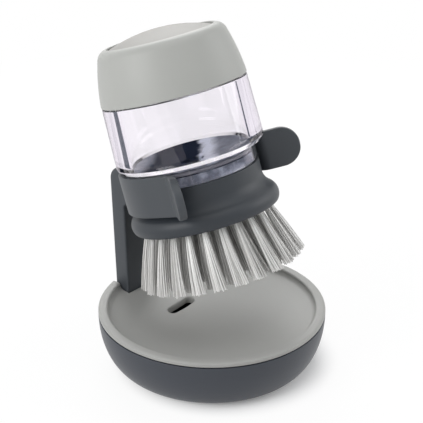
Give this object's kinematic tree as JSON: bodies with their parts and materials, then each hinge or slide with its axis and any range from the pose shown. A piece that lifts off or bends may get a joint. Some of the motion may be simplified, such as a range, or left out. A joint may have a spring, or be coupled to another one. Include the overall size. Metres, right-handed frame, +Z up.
{
  "type": "soap dispensing palm brush",
  "caption": "Palm brush with a clear soap reservoir, a screw cap and a push button that pumps soap to its bristles, parked in a cradle above a drip tray in a bowl base.",
  "frame": {"origin": "centre of the stand's resting face, under the middle of the bowl", "axes": "+Z up; the post stands at +Y and the cradle opens towards -Y; X across"},
  "size_m": [0.1108, 0.1135, 0.1668],
  "materials": {
    "light_grey_plastic": "satin",
    "pale_grey_plastic": "satin",
    "slate_plastic": "satin",
    "clear_plastic": "clear",
    "bristle_nylon": "satin",
    "silicone": "matte",
    "dark_rubber": "matte",
    "steel": "brushed"
  },
  "bodies": {
    "stand": {"base_bowl": "slate_plastic", "base_pad": "dark_rubber", "cradle_post": "slate_plastic", "post_screw_left": "steel", "post_screw_right": "steel"},
    "tray": {"drip_tray": "light_grey_plastic"},
    "brush": {"reservoir": "clear_plastic", "head_seal": "dark_rubber", "head_collar": "slate_plastic", "bristle_block": "slate_plastic", "bristles_outer": "bristle_nylon", "bristles_middle": "bristle_nylon", "bristles_inner": "bristle_nylon", "slit_valve": "silicone", "valve_retainer": "slate_plastic"},
    "cap_seal": {"cap_gasket": "dark_rubber"},
    "cap": {"cap_shell": "light_grey_plastic", "pump_plate": "pale_grey_plastic", "air_valve": "silicone", "pump_bellows": "silicone"},
    "button": {"press_button": "pale_grey_plastic"}
  },
  "joints": [
    {"name": "tray_lift", "type": "slide", "parent": "stand", "child": "tray", "axis": [0, 0, 1], "range_m": [0, 0.01]},
    {"name": "brush_out", "type": "slide", "parent": "stand", "child": "brush", "axis": [0, -0.9494, 0.314], "range_m": [0, 0.08]},
    {"name": "cap_lift", "type": "slide", "parent": "brush", "child": "cap_seal", "axis": [0, 0.314, 0.9494], "range_m": [0, 0.0051]},
    {"name": "cap_turn", "type": "hinge", "parent": "cap_seal", "child": "cap", "pos_m": [0, 0.01305, 0.10643], "axis": [0, 0.314, 0.9494], "range_deg": [0, 450]},
    {"name": "button_press", "type": "slide", "parent": "cap", "child": "button", "axis": [0, -0.314, -0.9494], "range_m": [0, 0.0045], "stiffness_N_per_m": 1200, "deforming": ["pump_bellows"]}
  ],
  "couplings": [
    {"joint": "cap_lift", "follows": "cap_turn", "m_per_rad": 0.00063662}
  ]
}
